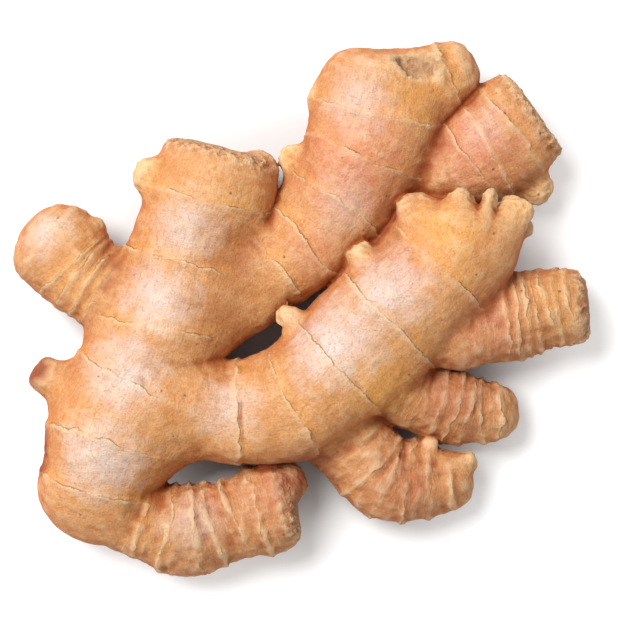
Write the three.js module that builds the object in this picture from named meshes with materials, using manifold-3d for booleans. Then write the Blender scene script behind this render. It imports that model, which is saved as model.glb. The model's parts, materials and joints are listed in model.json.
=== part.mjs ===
// A whole hand of fresh ginger, lying flat: one rhizome that grew as one piece. A thick stem runs up its left
// side, and fingers branch off it and off each other. Leaf scars ring each finger, the side buds are small blunt
// knobs, and the flat ends are the scars of broken stalks and of a cut. Each finger is lofted along its own
// curved route, the fingers are joined into one solid, and the lowest skin is pressed flat where the hand rests.
// Millimetres, +X to the right, +Y away from the viewer, +Z up; the origin is under the middle, on the table.

import * as THREE from "three";
import { mergeVertices } from "three/addons/utils/BufferGeometryUtils.js";
import Module from "manifold-3d";

// Each finger: its route from root to tip as [x, y, z, half width], how long and how square its rounded tip is,
// the distances along it at which leaf scars ring it, and how far those rings stand out. The stem's lower end is
// free, so it is rounded too.
const FINGERS = {
  stem: {
    route: [
      [-56.0, -57.5, 12.0, 12.5],
      [-53.5, -48.5, 12.8, 13.5],
      [-50.5, -39.5, 13.6, 15.0],
      [-48.0, -29.0, 14.4, 16.4],
      [-38.5, -12.0, 14.6, 15.5],
      [-31.5, 5.0, 15.0, 15.0],
      [-26.5, 21.0, 15.2, 15.2],
      [-22.5, 30.5, 15.2, 16.0],
      [-19.8, 40.5, 15.2, 13.7],
    ],
    root: [12, 2],
    tip: [3.2, 2.8],
    rings: [14, 27, 42, 57.5, 75, 91],
    ridge: 0.6,
  },
  side_knob: {
    route: [
      [-40.5, -3.5, 13.0, 12.0],
      [-48.0, 3.0, 12.0, 9.6],
      [-56.5, 9.5, 11.2, 11.0],
      [-62.0, 15.6, 11.0, 11.6],
      [-69.0, 22.3, 11.0, 10.8],
    ],
    tip: [9.5, 2.1],
    rings: [13.5, 16.5, 19.5, 23],
    ridge: 0.5,
  },
  left_bud: {
    route: [
      [-50.5, -21.5, 13.0, 8.0],
      [-57.5, -19.5, 13.0, 6.4],
      [-63.0, -17.3, 13.5, 5.3],
      [-67.6, -14.4, 14.0, 3.8],
    ],
    tip: [2.4, 2.6],
    rings: [8.5],
    ridge: 0.4,
  },
  lower_finger: {
    route: [
      [-54.0, -47.5, 11.0, 7.0],
      [-46.5, -52.0, 11.0, 8.0],
      [-38.0, -54.0, 11.0, 9.4],
      [-29.0, -55.0, 11.2, 11.4],
      [-19.0, -52.6, 11.5, 10.3],
      [-10.0, -49.5, 11.8, 10.8],
      [-2.0, -47.5, 12.0, 9.8],
    ],
    tip: [4, 2.6],
    rings: [15, 22, 29, 33.5, 39, 45.5],
    ridge: 0.9,
  },
  middle_finger: {
    route: [
      [-31.5, -6.0, 14.5, 11.5],
      [-21.5, 1.5, 14.5, 10.6],
      [-10.0, 8.0, 14.0, 10.6],
      [0.5, 17.5, 14.0, 12.6],
      [10.4, 29.0, 14.2, 14.8],
      [15.8, 41.5, 14.4, 16.2],
      [19.2, 53.5, 14.6, 15.7],
      [22.0, 64.6, 14.8, 12.4],
    ],
    tip: [5.5, 2.3],
    rings: [30, 40, 52, 65, 77],
    ridge: 0.6,
  },
  top_knob: {
    route: [
      [24.0, 55.2, 15.0, 9.6],
      [31.0, 56.4, 16.0, 9.2],
      [37.0, 59.0, 16.5, 7.8],
      [43.5, 60.8, 16.5, 7.0],
    ],
    tip: [5, 2.1],
    rings: [13],
    ridge: 0.5,
  },
  cut_finger: {
    route: [
      [20.0, 34.0, 9.5, 8.5],
      [29.0, 33.5, 9.8, 9.8],
      [37.0, 35.8, 11.2, 11.8],
      [44.5, 40.5, 12.4, 12.9],
      [51.5, 45.0, 13.0, 13.2],
      [58.0, 49.8, 13.2, 12.0],
    ],
    tip: [1.6, 3],
    rings: [23, 28, 36],
    ridge: 0.6,
  },
  crossing_finger: {
    route: [
      [-38.0, -27.0, 15.0, 14.0],
      [-26.5, -25.2, 15.6, 12.6],
      [-16.0, -25.3, 16.5, 12.6],
      [-2.5, -23.0, 17.5, 14.6],
      [8.5, -14.0, 18.0, 15.6],
      [21.0, -2.0, 18.3, 15.8],
      [31.2, 8.6, 18.4, 15.5],
      [37.8, 16.6, 18.4, 15.6],
      [40.6, 26.6, 18.0, 15.2],
    ],
    tip: [7, 2.3],
    rings: [22.5, 36, 50.5, 67.5, 85.5],
    ridge: 0.6,
  },
  right_finger: {
    route: [
      [28.0, -4.0, 15.5, 8.0],
      [36.0, -4.0, 14.5, 11.0],
      [43.5, -2.5, 13.5, 11.0],
      [52.0, -1.5, 12.5, 10.6],
      [61.0, 0.3, 12.0, 10.1],
      [71.5, 1.5, 12.0, 9.3],
    ],
    tip: [5, 2.8],
    rings: [22, 24.8, 27.6, 30.4, 33.2, 36, 38.8],
    ridge: 0.8,
  },
  short_finger: {
    route: [
      [17.5, -15.0, 14.5, 8.0],
      [24.5, -20.1, 13.0, 8.6],
      [30.5, -22.4, 11.5, 8.5],
      [38.5, -24.5, 10.0, 9.3],
      [46.0, -25.3, 9.5, 8.0],
      [54.0, -24.8, 9.5, 6.5],
    ],
    tip: [6, 2],
    rings: [18, 22, 26, 30, 34],
    ridge: 0.9,
  },
  bottom_finger: {
    route: [
      [3.5, -24.0, 14.0, 8.5],
      [11.0, -32.5, 11.5, 10.0],
      [19.2, -41.0, 10.2, 10.8],
      [27.5, -43.0, 10.0, 10.0],
      [35.0, -42.8, 10.0, 7.7],
      [42.3, -40.2, 10.2, 6.0],
    ],
    tip: [6, 2],
    rings: [20, 25.5, 31, 36, 41],
    ridge: 0.9,
  },
};

// Side buds and small knobs, in the same form: short, and too young to have leaf scars of their own.
const BUDS = {
  shoulder_bud: {
    route: [[-31.5, 27.5, 17, 5.5], [-38, 33.5, 18, 4.8], [-41.5, 36.5, 18.3, 4.2]],
    tip: [3.6, 2],
  },
  stalk_shoulder: {
    route: [[-16, 30, 16, 7], [-12, 35, 16.2, 4.9], [-10.6, 39.8, 16.2, 3.5]],
    tip: [3, 2],
  },
  knob_bud: { route: [[-52, 17, 13, 2.8], [-51.9, 23.3, 13, 2.4]], tip: [2, 2] },
  pointed_bud: { route: [[2.6, 33, 15, 5], [-1.6, 36.8, 15, 4], [-5.4, 40.3, 14.5, 2.4]], tip: [3, 2] },
  head_bud: { route: [[9, 49.5, 16, 4.8], [3.2, 56.3, 16.5, 3.7]], tip: [2.2, 2.4] },
  cut_bud: { route: [[49.5, 36.5, 11, 5], [56.4, 32, 10, 4.7], [61.8, 28.6, 9.5, 4.2]], tip: [3.5, 2] },
  hook_bud: {
    route: [[-0.4, -6.3, 20, 4.2], [-2.9, -2, 20.5, 3.6], [-6.8, -0.6, 20.5, 2.6]],
    tip: [2.4, 2],
  },
  stub_bud: { route: [[17.6, 6.3, 21, 4.5], [15.1, 11.3, 22, 4], [12.4, 16, 22.5, 3.6]], tip: [1.5, 3] },
  crown_left: {
    route: [[31, 15.5, 26, 4.6], [28.2, 22.5, 24.5, 4.2], [26.2, 28.2, 21.5, 3]],
    tip: [2.2, 2.2],
  },
  crown_middle: {
    route: [[37.2, 15, 28.5, 3.6], [38.4, 23, 27.5, 3.4], [39.3, 29.6, 23.5, 2.8]],
    tip: [2.2, 2.2],
  },
  crown_right: {
    route: [[43.2, 14.5, 28.5, 2.8], [45, 22.5, 27, 2.4], [46.4, 30, 23.5, 1.9]],
    tip: [1.8, 2.2],
  },
  crown_scar: { route: [[47, 14.5, 25, 5], [50.5, 21, 23.5, 4.8], [54, 26.8, 20.5, 4]], tip: [1.6, 2.8] },
  crown_edge: { route: [[51, 19.5, 18, 3], [57, 21.3, 17.5, 2.4]], tip: [2, 2] },
  upper_lobe: { route: [[-8, -45.5, 14, 4.8], [-3.6, -42.8, 14, 4.4], [0, -40.8, 14, 3.9]], tip: [3.5, 2] },
  lower_lobe: { route: [[-10, -53.8, 11, 4.4], [-3.2, -58, 11, 3.7]], tip: [3, 2] },
  scar_fold: {
    route: [[34.6, 53.5, 21.5, 2.2], [33.2, 58.5, 23, 2.2], [32.6, 63, 22.3, 1.8]],
    tip: [1.5, 2],
  },
  corner_bud: { route: [[36, -40, 11, 4], [43.3, -36.9, 11.5, 2.4]], tip: [1.4, 3] },
  node_bud: { route: [[30.9, -36.5, 13, 2.4], [31.7, -31.6, 13, 2]], tip: [1.8, 2] },
};

// Shallow round hollows where stalks broke away: the middle, and how far each reaches along X, Y and Z.
const STALK_SCARS = [{ middle: [28, 61, 24.8], reach: [5.6, 3.8, 2.6] }];

// A finger is a little flatter than it is wide.
const THICKNESS = 0.92;

// Half the width of a ring's ridge.
const RIDGE_WIDTH = 1.3;

// How finely a finger is made: the longest and shortest step between two sections, the sections that round off an
// end, the length of a section's sides and the fewest it has, and the sides of the ball that hollows a scar.
const LONGEST_STEP = 5;
const SHORTEST_STEP = 0.3;
const END_SECTIONS = 3;
const SIDE_LENGTH = 4.6;
const FEWEST_SIDES = 8;
const SCAR_SIDES = 12;

// Low swellings keep a finger from being round: their height, and how fast they wind along it.
const LUMP = 0.45;
const LUMP_TURN = 0.19;
const PHASE_STEP = 1.3;

// The block of table that the skin is pressed flat on.
const TABLE = { width: 400, depth: 400, height: 60 };

const SKIN = new THREE.MeshStandardMaterial({
  name: "ginger skin",
  color: "#d8a878",
  roughness: 0.55,
  metalness: 0,
});

const wasm = await Module();
wasm.setup();

// The route of a finger as a smooth curve, with its half width as a second curve over the same points.
function routeOf({ route }) {
  const middle = route.map(([x, y, z]) => new THREE.Vector3(x, y, z));
  const widths = route.map((point) => new THREE.Vector3(point[3], 0, 0));
  const line = new THREE.CatmullRomCurve3(middle, false, "catmullrom", 0.5);
  const width = new THREE.CatmullRomCurve3(widths, false, "catmullrom", 0.5);
  return { line, width, length: line.getLength() };
}

// The share of its width that a finger has at a distance from a rounded end.
function rounding(distance, [length, squareness]) {
  const inward = Math.min(Math.max(1 - distance / length, 0), 1);
  return (1 - inward ** squareness) ** (1 / squareness);
}

// The distances along a finger at which it gets a section: close together round its ends and at each ring.
function stationsOf(length, root, tip, rings) {
  const marks = [0, length];
  for (const ring of rings) {
    marks.push(ring - RIDGE_WIDTH, ring, ring + RIDGE_WIDTH);
  }
  for (let step = 1; step <= END_SECTIONS; step += 1) {
    const along = 1 - Math.cos(((step / END_SECTIONS) * Math.PI) / 2);
    marks.push(length - tip[0] * along);
    if (root) {
      marks.push(root[0] * along);
    }
  }
  const stations = [0];
  for (const mark of marks.sort((a, b) => a - b)) {
    const last = stations[stations.length - 1];
    if (mark - last > SHORTEST_STEP) {
      const steps = Math.ceil((mark - last) / LONGEST_STEP);
      for (let step = 1; step <= steps; step += 1) {
        stations.push(last + ((mark - last) * step) / steps);
      }
    }
  }
  return stations;
}

// How far the skin swells out of round at a place on a finger.
function lump(distance, angle, phase) {
  const slow = Math.sin(2 * angle + phase + distance * LUMP_TURN);
  const quick = Math.sin(3 * angle - 1.7 * phase - distance * 0.7 * LUMP_TURN);
  return LUMP * (slow + 0.6 * quick);
}

// How far the skin stands out at a distance along a finger, for its leaf scars.
function ringHeight(distance, { rings = [], ridge = 0 }) {
  return rings.reduce((height, ring) => height + ridge * Math.exp(-2 * ((distance - ring) / RIDGE_WIDTH) ** 2), 0);
}

// One finger as a closed geometry: sections along its route, joined by a skin and closed by a fan at each end.
function fingerGeometry(finger, phase) {
  const { line, width, length } = routeOf(finger);
  const stations = stationsOf(length, finger.root, finger.tip, finger.rings ?? []);
  const widest = Math.max(...finger.route.map((point) => point[3]));
  const sides = Math.max(FEWEST_SIDES, Math.round((2 * Math.PI * widest) / SIDE_LENGTH));
  const up = new THREE.Vector3(0, 0, 1);
  const positions = [];
  const sections = finger.root ? stations.slice(1, -1) : stations.slice(0, -1);
  for (const station of sections) {
    const t = line.getUtoTmapping(station / length);
    const centre = line.getPoint(t);
    const forward = line.getTangent(t);
    const across = new THREE.Vector3().crossVectors(forward, up).normalize();
    const over = new THREE.Vector3().crossVectors(across, forward);
    const share = rounding(length - station, finger.tip) * (finger.root ? rounding(station, finger.root) : 1);
    for (let side = 0; side < sides; side += 1) {
      const angle = (2 * Math.PI * side) / sides;
      const radius = share * (width.getPoint(t).x + lump(station, angle, phase) + ringHeight(station, finger));
      const point = centre.clone();
      point.addScaledVector(across, radius * Math.cos(angle));
      point.addScaledVector(over, radius * THICKNESS * Math.sin(angle));
      positions.push(...point.toArray());
    }
  }
  const rootApex = positions.length / 3;
  const tipApex = rootApex + 1;
  positions.push(...line.getPoint(0).toArray(), ...line.getPoint(1).toArray());

  const triangles = [];
  const lastSection = (sections.length - 1) * sides;
  for (let side = 0; side < sides; side += 1) {
    const next = (side + 1) % sides;
    triangles.push(rootApex, side, next);
    triangles.push(tipApex, lastSection + next, lastSection + side);
    for (let section = 0; section < lastSection; section += sides) {
      const near = [section + side, section + next];
      const far = [section + sides + side, section + sides + next];
      triangles.push(near[0], far[0], far[1], near[0], far[1], near[1]);
    }
  }
  const geometry = new THREE.BufferGeometry();
  geometry.setAttribute("position", new THREE.Float32BufferAttribute(positions, 3));
  geometry.setIndex(triangles);
  return geometry;
}

function toSolid(geometry) {
  geometry.deleteAttribute("normal");
  geometry.deleteAttribute("uv");
  const closed = mergeVertices(geometry);
  const vertProperties = new Float32Array(closed.attributes.position.array);
  const triVerts = new Uint32Array(closed.index.array);
  return new wasm.Manifold(new wasm.Mesh({ numProp: 3, vertProperties, triVerts }));
}

function toGeometry(solid) {
  const { vertProperties, triVerts } = solid.getMesh();
  const geometry = new THREE.BufferGeometry();
  geometry.setAttribute("position", new THREE.BufferAttribute(vertProperties, 3));
  geometry.setIndex(new THREE.BufferAttribute(triVerts, 1));
  return geometry;
}

// The table's top is at z = 0, and it takes away the skin that reaches below it.
function tableSolid() {
  const block = new THREE.BoxGeometry(TABLE.width, TABLE.depth, TABLE.height);
  block.translate(0, 0, -TABLE.height / 2);
  return toSolid(block);
}

function scarSolid({ middle, reach }) {
  const ball = new THREE.SphereGeometry(1, SCAR_SIDES, SCAR_SIDES / 2);
  ball.scale(...reach);
  ball.translate(...middle);
  return toSolid(ball);
}

function gingerRoot() {
  const pieces = Object.values({ ...FINGERS, ...BUDS });
  const solids = pieces.map((finger, index) => toSolid(fingerGeometry(finger, index * PHASE_STEP)));
  const joined = solids.reduce((body, solid) => body.add(solid));
  const cuts = [...STALK_SCARS.map(scarSolid), tableSolid()];
  const geometry = toGeometry(cuts.reduce((body, cut) => body.subtract(cut), joined));
  geometry.computeBoundingBox();
  const middle = geometry.boundingBox.getCenter(new THREE.Vector3());
  geometry.translate(-middle.x, -middle.y, -geometry.boundingBox.min.z);
  const mesh = new THREE.Mesh(geometry, SKIN);
  mesh.name = "ginger_root";
  return mesh;
}

const ginger = new THREE.Group();
ginger.add(gingerRoot());

export default ginger;
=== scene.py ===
import itertools
import json

import bpy
import numpy as np
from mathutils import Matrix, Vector, noise

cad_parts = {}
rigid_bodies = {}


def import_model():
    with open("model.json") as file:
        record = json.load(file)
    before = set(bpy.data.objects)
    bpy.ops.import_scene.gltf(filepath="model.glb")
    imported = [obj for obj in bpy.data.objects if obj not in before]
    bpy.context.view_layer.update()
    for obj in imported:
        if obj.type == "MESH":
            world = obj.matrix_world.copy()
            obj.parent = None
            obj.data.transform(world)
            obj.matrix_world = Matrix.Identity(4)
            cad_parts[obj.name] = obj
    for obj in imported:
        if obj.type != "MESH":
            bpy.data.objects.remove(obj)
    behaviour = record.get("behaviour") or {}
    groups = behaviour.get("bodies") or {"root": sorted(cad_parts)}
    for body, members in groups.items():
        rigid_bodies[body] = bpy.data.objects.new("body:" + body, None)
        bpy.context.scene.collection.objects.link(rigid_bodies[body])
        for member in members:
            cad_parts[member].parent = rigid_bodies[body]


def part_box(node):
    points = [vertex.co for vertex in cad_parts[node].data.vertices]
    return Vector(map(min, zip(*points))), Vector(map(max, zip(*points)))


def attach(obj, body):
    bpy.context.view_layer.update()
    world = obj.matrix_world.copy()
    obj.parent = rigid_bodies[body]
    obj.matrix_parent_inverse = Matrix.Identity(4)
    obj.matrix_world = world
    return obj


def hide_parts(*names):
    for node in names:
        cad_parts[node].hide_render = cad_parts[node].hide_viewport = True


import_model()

bl_info = {
    "name": "Ginger Root",
    "version": (1, 0, 0),
    "blender": (4, 5, 0),
    "location": "View3D > Sidebar > Ginger",
    "description": "Grows a whole hand of fresh ginger and sets it on a lit table",
    "category": "Object",
}

# The solid that the skin follows, and the body that it rides on.
NODE = "ginger_root"
BODY = "root"
MM = 0.001

# In metres: the middle of the picture on the floor, the height of the fingers' middle, where the lamp hangs,
# how far out the floor starts to glow and glows in full, and how far it lies under the root, so that the two
# never share a face.
VIEW_MIDDLE = (0.0046, -0.0025)
FINGER_HEIGHT = 0.015
LAMP_PLACE = (-0.64, 0.54, 1.32)
GLOW_START, GLOW_END = 0.042, 0.072
FLOOR_DROP = -0.00002

# The fingers, in millimetres, on the same routes as the solid. Each has its parent, the width of the rounded
# valley between the two, and how far along it the valley starts to run out (crotch); its route from root to
# tip as x, y, z and half width; the length and squareness of its tip; the distances along it at which leaf
# scars ring it, how far each leans, which have split open (cracks) and how far they stand out (ridge); and
# whether its end is frayed. Only the stem's lower end is free, so only it has a rounded root.
FINGERS = {
    "stem": dict(
        parent=None, valley=0,
        route=[(-56, -57.5, 12, 12.5), (-53.5, -48.5, 12.8, 13.5), (-50.5, -39.5, 13.6, 15),
               (-48, -29, 14.4, 16.4), (-38.5, -12, 14.6, 15.5), (-31.5, 5, 15, 15),
               (-26.5, 21, 15.2, 15.2), (-22.5, 30.5, 15.2, 16), (-19.8, 40.5, 15.2, 13.7)],
        root=12, tip=(3.2, 2.8), rings=(14, 27, 42, 57.5, 75, 91), leans=(0, 0, 0, 4, 0, 3.5),
        ridge=0.3, frayed=True),
    "side_knob": dict(
        parent="stem", valley=6,
        route=[(-40.5, -3.5, 13, 12), (-48, 3, 12, 9.6), (-56.5, 9.5, 11.2, 11),
               (-62, 15.6, 11, 11.6), (-69, 22.3, 11, 10.8)],
        tip=(9.5, 2.1), rings=(13.5, 16.5, 19.5, 23), ridge=0.45),
    "left_bud": dict(
        parent="stem", valley=4,
        route=[(-50.5, -21.5, 13, 8), (-57.5, -19.5, 13, 6.4), (-63, -17.3, 13.5, 5.3),
               (-67.6, -14.4, 14, 3.8)],
        tip=(2.4, 2.6), rings=(8.5,), ridge=0.4),
    "lower_finger": dict(
        parent="stem", valley=5,
        route=[(-54, -47.5, 11, 7), (-46.5, -52, 11, 8), (-38, -54, 11, 9.4), (-29, -55, 11.2, 11.4),
               (-19, -52.6, 11.5, 10.3), (-10, -49.5, 11.8, 10.8), (-2, -47.5, 12, 9.8)],
        tip=(4, 2.6), rings=(15, 22, 29, 33.5, 39, 45.5), ridge=0.7, frayed=True),
    "middle_finger": dict(
        parent="stem", valley=7, crotch=32,
        route=[(-31.5, -6, 14.5, 11.5), (-21.5, 1.5, 14.5, 10.6), (-10, 8, 14, 10.6),
               (0.5, 17.5, 14, 12.6), (10.4, 29, 14.2, 14.8), (15.8, 41.5, 14.4, 16.2),
               (19.2, 53.5, 14.6, 15.7), (22, 64.6, 14.8, 12.4)],
        tip=(5.5, 2.3), rings=(30, 40, 52, 65, 77), ridge=0.3),
    "top_knob": dict(
        parent="middle_finger", valley=4,
        route=[(24, 55.2, 15, 9.6), (31, 56.4, 16, 9.2), (37, 59, 16.5, 7.8), (43.5, 60.8, 16.5, 7)],
        tip=(5, 2.1), rings=(13,), ridge=0.4),
    "cut_finger": dict(
        parent="middle_finger", valley=3,
        route=[(20, 34, 9.5, 8.5), (29, 33.5, 9.8, 9.8), (37, 35.8, 11.2, 11.8), (44.5, 40.5, 12.4, 12.9),
               (51.5, 45, 13, 13.2), (58, 49.8, 13.2, 12)],
        tip=(1.6, 3), rings=(23, 28, 36), ridge=0.4, frayed=True),
    "crossing_finger": dict(
        parent="stem", valley=8,
        route=[(-38, -27, 15, 14), (-26.5, -25.2, 15.6, 12.6), (-16, -25.3, 16.5, 12.6),
               (-2.5, -23, 17.5, 14.6), (8.5, -14, 18, 15.6), (21, -2, 18.3, 15.8),
               (31.2, 8.6, 18.4, 15.5), (37.8, 16.6, 18.4, 15.6), (40.6, 26.6, 18, 15.2)],
        tip=(7, 2.3), rings=(22.5, 36, 50.5, 67.5, 85.5), ridge=0.3, cracks=(0,)),
    "right_finger": dict(
        parent="crossing_finger", valley=3,
        route=[(28, -4, 15.5, 8), (36, -4, 14.5, 11), (43.5, -2.5, 13.5, 11), (52, -1.5, 12.5, 10.6),
               (61, 0.3, 12, 10.1), (71.5, 1.5, 12, 9.3)],
        tip=(5, 2.8), rings=(22, 24.8, 27.6, 30.4, 33.2, 36, 38.8), ridge=0.5, frayed=True),
    "short_finger": dict(
        parent="crossing_finger", valley=3,
        route=[(17.5, -15, 14.5, 8), (24.5, -20.1, 13, 8.6), (30.5, -22.4, 11.5, 8.5), (38.5, -24.5, 10, 9.3),
               (46, -25.3, 9.5, 8), (54, -24.8, 9.5, 6.5)],
        tip=(6, 2), rings=(18, 22, 26, 30, 34), ridge=0.6),
    "bottom_finger": dict(
        parent="crossing_finger", valley=4,
        route=[(3.5, -24, 14, 8.5), (11, -32.5, 11.5, 10), (19.2, -41, 10.2, 10.8), (27.5, -43, 10, 10),
               (35, -42.8, 10, 7.7), (42.3, -40.2, 10.2, 6)],
        tip=(6, 2), rings=(20, 25.5, 31, 36, 41), ridge=0.7),
}

# Side buds and small knobs, in the same form: short, and too young to have leaf scars of their own.
BUDS = {
    "shoulder_bud": dict(parent="stem", valley=3, tip=(3.6, 2),
                         route=[(-31.5, 27.5, 17, 5.5), (-38, 33.5, 18, 4.8), (-41.5, 36.5, 18.3, 4.2)]),
    "stalk_shoulder": dict(parent="stem", valley=3, tip=(3, 2),
                           route=[(-16, 30, 16, 7), (-12, 35, 16.2, 4.9), (-10.6, 39.8, 16.2, 3.5)]),
    "knob_bud": dict(parent="side_knob", valley=2, tip=(2, 2),
                     route=[(-52, 17, 13, 2.8), (-51.9, 23.3, 13, 2.4)]),
    "pointed_bud": dict(parent="middle_finger", valley=3, tip=(3, 2),
                        route=[(2.6, 33, 15, 5), (-1.6, 36.8, 15, 4), (-5.4, 40.3, 14.5, 2.4)]),
    "head_bud": dict(parent="middle_finger", valley=2, tip=(2.2, 2.4),
                     route=[(9, 49.5, 16, 4.8), (3.2, 56.3, 16.5, 3.7)]),
    "cut_bud": dict(parent="cut_finger", valley=2.5, tip=(3.5, 2),
                    route=[(49.5, 36.5, 11, 5), (56.4, 32, 10, 4.7), (61.8, 28.6, 9.5, 4.2)]),
    "hook_bud": dict(parent="crossing_finger", valley=2.5, tip=(2.4, 2),
                     route=[(-0.4, -6.3, 20, 4.2), (-2.9, -2, 20.5, 3.6), (-6.8, -0.6, 20.5, 2.6)]),
    "stub_bud": dict(parent="crossing_finger", valley=2.5, tip=(1.5, 3),
                     route=[(17.6, 6.3, 21, 4.5), (15.1, 11.3, 22, 4), (12.4, 16, 22.5, 3.6)]),
    "crown_left": dict(parent="crossing_finger", valley=4, tip=(2.2, 2.2),
                       route=[(31, 15.5, 26, 4.6), (28.2, 22.5, 24.5, 4.2), (26.2, 28.2, 21.5, 3)]),
    "crown_middle": dict(parent="crossing_finger", valley=3.5, tip=(2.2, 2.2),
                         route=[(37.2, 15, 28.5, 3.6), (38.4, 23, 27.5, 3.4), (39.3, 29.6, 23.5, 2.8)]),
    "crown_right": dict(parent="crossing_finger", valley=2.5, tip=(1.8, 2.2),
                        route=[(43.2, 14.5, 28.5, 2.8), (45, 22.5, 27, 2.4), (46.4, 30, 23.5, 1.9)]),
    "crown_scar": dict(parent="crossing_finger", valley=3, tip=(1.6, 2.8),
                       route=[(47, 14.5, 25, 5), (50.5, 21, 23.5, 4.8), (54, 26.8, 20.5, 4)]),
    "crown_edge": dict(parent="crossing_finger", valley=2, tip=(2, 2),
                       route=[(51, 19.5, 18, 3), (57, 21.3, 17.5, 2.4)]),
    "upper_lobe": dict(parent="lower_finger", valley=3, tip=(3.5, 2),
                       route=[(-8, -45.5, 14, 4.8), (-3.6, -42.8, 14, 4.4), (0, -40.8, 14, 3.9)]),
    "lower_lobe": dict(parent="lower_finger", valley=3, tip=(3, 2),
                       route=[(-10, -53.8, 11, 4.4), (-3.2, -58, 11, 3.7)]),
    "scar_fold": dict(parent="top_knob", valley=2, tip=(1.5, 2),
                      route=[(34.6, 53.5, 21.5, 2.2), (33.2, 58.5, 23, 2.2), (32.6, 63, 22.3, 1.8)]),
    "corner_bud": dict(parent="bottom_finger", valley=2.5, tip=(1.4, 3),
                       route=[(36, -40, 11, 4), (43.3, -36.9, 11.5, 2.4)]),
    "node_bud": dict(parent="bottom_finger", valley=2, tip=(1.8, 2),
                     route=[(30.9, -36.5, 13, 2.4), (31.7, -31.6, 13, 2)]),
}

# How much thinner than wide a finger is, and the low swellings that keep it from being round.
THICKNESS = 0.92
LUMP = 0.45
LUMP_TURN = 0.19
PHASE_STEP = 1.3

# A shallow round hollow where a stalk broke away: its middle, and how far it reaches along X, Y and Z.
STALK_SCAR = dict(middle=(28, 61, 24.8), reach=(5.6, 3.8, 2.6))

# How far a ring's swelling reaches to each side, and how far rings stray from square to their finger.
RIDGE_WIDTH = 1.3
RING_SWAY = 0.9

# A leaf scar is the edge of an old sheath: it rises slowly from the root's side and drops at once, with a
# groove just past it. The skin is paler before a scar and more golden past it.
LIP_RISE = 2.2
LIP_FALL = 0.25
GROOVE_AT = 0.65
GROOVE_WIDTH = 0.5
RING_REACH = 1.6
PALE_REACH = 5.0
GOLDEN_REACH = 3.5

# How the skin is worked out: samples on a span of route, points taken at a time, a distance that counts as
# far off, the narrowest valley, the length over which a valley runs out, how far round a finger its skin is
# worked out, the passes that even out and settle the net, and the room it has round the solid's box.
SPAN_SAMPLES = 24
BATCH = 20000
FAR = 20.0
NO_VALLEY = 0.01
CROTCH_FADE = 9.0
REACH = 9.0
SETTLE_PASSES = 4
NET_MARGIN = 3.3
SEED = 7

# How softly the marks of two fingers meet, the width of the rounded edges where the skin lies on the table
# and round the stalk scar, how much of a blunt end is frayed, the passes that find narrow valleys and broad
# hollows, where shade is painted, and how far up the skin faces where a flank starts and where it is in full:
# skin that faces sideways and down gets painted shade.
MARK_BLEND = 0.8
TABLE_EDGE = 1.2
SCAR_EDGE = 0.8
FRAY_REACH = 5.5
VALLEY_PASSES = 14
HOLLOW_PASSES = 50
FLANK_START, FLANK_END = 0.95, 0.15

# The relief's fibres and folds, along, across and over a finger, in millimetres.
FIBRE_RELIEF = (7, 1.3, 1.3)
FOLD_RELIEF = (1.8, 5, 5)

# Where the skin changes colour, and where highlight and shade are painted on it: x, y, z and radius of each
# patch, and how strong it is. Then the patches of each mark, with the seed of their ragged edges.
BLUSH_PATCHES = [(14, 36, 24, 17, 0.9), (3, 14, 24, 9, 0.6), (44, 40, 22, 14, 0.9), (47, -3, 20, 13, 0.7),
                 (-22, -48, 18, 12, 0.5), (-8, -46, 20, 10, 0.6), (24, 12, 30, 12, 0.4),
                 (38, -22, 18, 11, 0.6), (24, -42, 18, 12, 0.5)]
GOLD_PATCHES = [(20, -20, 26, 11, 1.0), (-40, 35, 18, 7, 1.0), (-4, 39, 15, 5, 1.0), (34, 19, 30, 9, 0.8),
                (-62, 20, 18, 8, 0.5), (52, 26, 22, 7, 0.6), (28, 55, 28, 9, 0.5)]
RUST_AND_SHADE_PATCHES = [(-70, -14, 15, 7, 1.6), (-66, -36, 14, 7, 1.5), (0, -42, 18, 9, 1.0), (-12, 6, 12, 9, 0.6),
                (30, 40, 16, 8, 0.8), (24, 22, 18, 9, 0.7), (-47, 9, 16, 5, 0.9), (72, 2, 16, 6, 0.6),
                # The last two patches are painted shade on the stem's right half, beside the middle finger.
                (37, -23, 18, 12, 0.4), (26, -45, 18, 12, 0.35), (-23, -1, 27, 10, 0.3),
                (-17, 12, 25, 9, 0.45)]
# Painted highlight: a pale silvery colour where the lamp's sheen falls on the old fingers' upper left sides.
PAINTED_HIGHLIGHT_PATCHES = [(-50, -36, 26, 12, 0.9), (-44, -16, 28, 11, 0.9), (-37, 3, 29, 11, 0.9),
                 (-29, 20, 29, 10, 0.7),
                 (7, -7, 31, 13, 1.0), (20, 5, 32, 12, 0.9), (-18, -24, 28, 9, 0.6), (10, 26, 27, 9, 0.4),
                 (-65, 21, 21, 8, 0.9), (13, 52, 28, 10, 0.6), (44, 46, 24, 7, 0.4), (-28, -53, 21, 8, 0.6)]
PATCHES = (("blush", BLUSH_PATCHES, 20), ("gold", GOLD_PATCHES, 22), ("rust_and_shade", RUST_AND_SHADE_PATCHES, 24),
           ("painted_highlight", PAINTED_HIGHLIGHT_PATCHES, 26))


def unit(rows):
    """Each row as a direction of length one."""
    return rows / np.maximum(np.linalg.norm(rows, axis=1, keepdims=True), 1e-9)


def smooth_route(points):
    """The Catmull-Rom curve through the points, sampled evenly in each span."""
    points = np.array(points, float)
    padded = np.vstack([2 * points[0] - points[1], points, 2 * points[-1] - points[-2]])
    share = np.linspace(0, 1, SPAN_SAMPLES, endpoint=False)[:, None]
    spans = []
    for before, start, end, after in zip(padded, padded[1:], padded[2:], padded[3:]):
        bend = 2 * before - 5 * start + 4 * end - after
        twist = 3 * start - before - 3 * end + after
        spans.append(start + 0.5 * ((end - before) * share + bend * share ** 2 + twist * share ** 3))
    return np.vstack(spans + [points[-1:]])


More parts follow.
